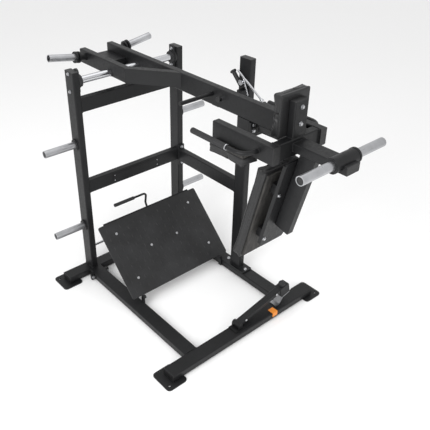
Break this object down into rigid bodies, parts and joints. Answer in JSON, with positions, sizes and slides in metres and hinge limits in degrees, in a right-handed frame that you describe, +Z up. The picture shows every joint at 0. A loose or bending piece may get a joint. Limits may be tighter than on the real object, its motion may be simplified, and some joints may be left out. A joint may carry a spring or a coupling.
{
  "type": "hack squat machine",
  "caption": "Pendulum-style hack squat machine: black tube frame, swinging arm with back, head and shoulder pads, loading horns, tilting foot plate.",
  "frame": {"origin": "on the floor under the centre of the machine's box at rest", "axes": "+X to the side of the lock post (the user's left hand when leaning on the back pad, facing the uprights), +Y from the back pad towards the uprights, +Z up"},
  "size_m": [1.43, 2.266, 1.816],
  "materials": {
    "black_steel": "fine textured powder coat",
    "deck_steel": "textured powder coat",
    "horn_chrome": "satin",
    "bolt_steel": "zinc plated",
    "bright_steel": "polished",
    "light_steel": "satin",
    "cast_housing": "painted casting",
    "black_plastic": "matte",
    "grip_rubber": "ribbed",
    "pad_vinyl": "fine grained vinyl",
    "pad_board": "black-stained plywood",
    "orange_steel": "gloss powder coat"
  },
  "bodies": {
    "frame": {"base_crossbars": "black_steel", "base_rails": "black_steel", "rail_joints": "black_steel", "floor_feet": "black_steel", "frame_end_caps": "black_plastic", "frame_bolts": "bolt_steel", "upright_left": "black_steel", "upright_right": "black_steel", "crossbeam_top": "black_steel", "crossbeam_middle": "black_steel", "blank_plate": "black_steel", "front_post": "black_steel", "side_brace": "black_steel", "storage_horns": "horn_chrome", "storage_collars": "black_steel", "storage_plugs": "black_plastic", "bearings": "cast_housing", "tilt_ears": "black_steel", "prop_rod": "bright_steel", "stop_bracket": "black_steel", "stop_rest": "light_steel", "stop_tab": "orange_steel"},
    "pendulum": {"pivot_shaft": "bright_steel", "main_arm": "black_steel", "left_arm": "black_steel", "weight_box": "black_steel", "pendulum_caps": "black_plastic", "rear_horns": "horn_chrome", "rear_horn_roots": "black_steel", "yoke": "black_steel", "shoulder_tubes": "black_steel", "arm_hanger": "black_steel", "front_beam": "black_steel", "horn_sleeve": "black_steel", "front_horn_bar": "horn_chrome", "front_horn_plugs": "black_plastic", "head_post": "black_steel", "head_pad": "pad_vinyl", "shoulder_pad_left": "pad_vinyl", "shoulder_pad_right": "pad_vinyl", "pad_boards": "pad_board", "back_pad": "pad_vinyl", "pad_carrier": "black_steel", "spine": "black_steel", "pendulum_bolts": "bolt_steel", "lock_catch": "black_steel", "handle_bars": "black_steel", "handle_grips": "grip_rubber", "bright_rings": "bright_steel"},
    "pop_pin": {"pop_pin": "black_plastic"},
    "lock_bar": {"lock_bar": "bright_steel"},
    "lock_lever": {"lock_lever": "bright_steel", "lever_grip": "grip_rubber"},
    "foot_plate": {"deck": "deck_steel", "deck_frame": "black_steel", "deck_bolts": "bolt_steel"},
    "prop_lever": {"prop_lever": "black_steel", "prop_grip": "grip_rubber"},
    "stop_arm": {"stop_arm": "black_steel", "stop_bumper": "grip_rubber"}
  },
  "joints": [
    {"name": "pendulum_swing", "type": "hinge", "parent": "frame", "child": "pendulum", "pos_m": [0, 0.753, 1.532], "axis": [1, 0, 0], "range_deg": [0, 32]},
    {"name": "foot_plate_tilt", "type": "hinge", "parent": "frame", "child": "foot_plate", "pos_m": [0, 0.153, 0.085], "axis": [1, 0, 0], "range_deg": [0, 15]},
    {"name": "prop_lever_turn", "type": "hinge", "parent": "foot_plate", "child": "prop_lever", "pos_m": [0.015, 0.573, 0.412], "axis": [1, 0, 0], "range_deg": [0, 8]},
    {"name": "lock_lever_turn", "type": "hinge", "parent": "frame", "child": "lock_lever", "pos_m": [0.4027, 0.015, 1.552], "axis": [1, 0, 0], "range_deg": [-25, 0]},
    {"name": "lock_bar_slide", "type": "slide", "parent": "frame", "child": "lock_bar", "axis": [1, 0, 0], "range_m": [-0.045, 0]},
    {"name": "pop_pin_pull", "type": "slide", "parent": "pendulum", "child": "pop_pin", "axis": [-1, 0, 0], "range_m": [0, 0.012], "stiffness_N_per_m": 600, "springref_m": -0.005},
    {"name": "stop_arm_swing", "type": "hinge", "parent": "frame", "child": "stop_arm", "pos_m": [-0.045, -0.472, 0.086], "axis": [0, -1, 0], "range_deg": [0, 50]}
  ],
  "couplings": [
    {"joint": "lock_bar_slide", "follows": "lock_lever_turn", "m_per_rad": 0.1031}
  ]
}
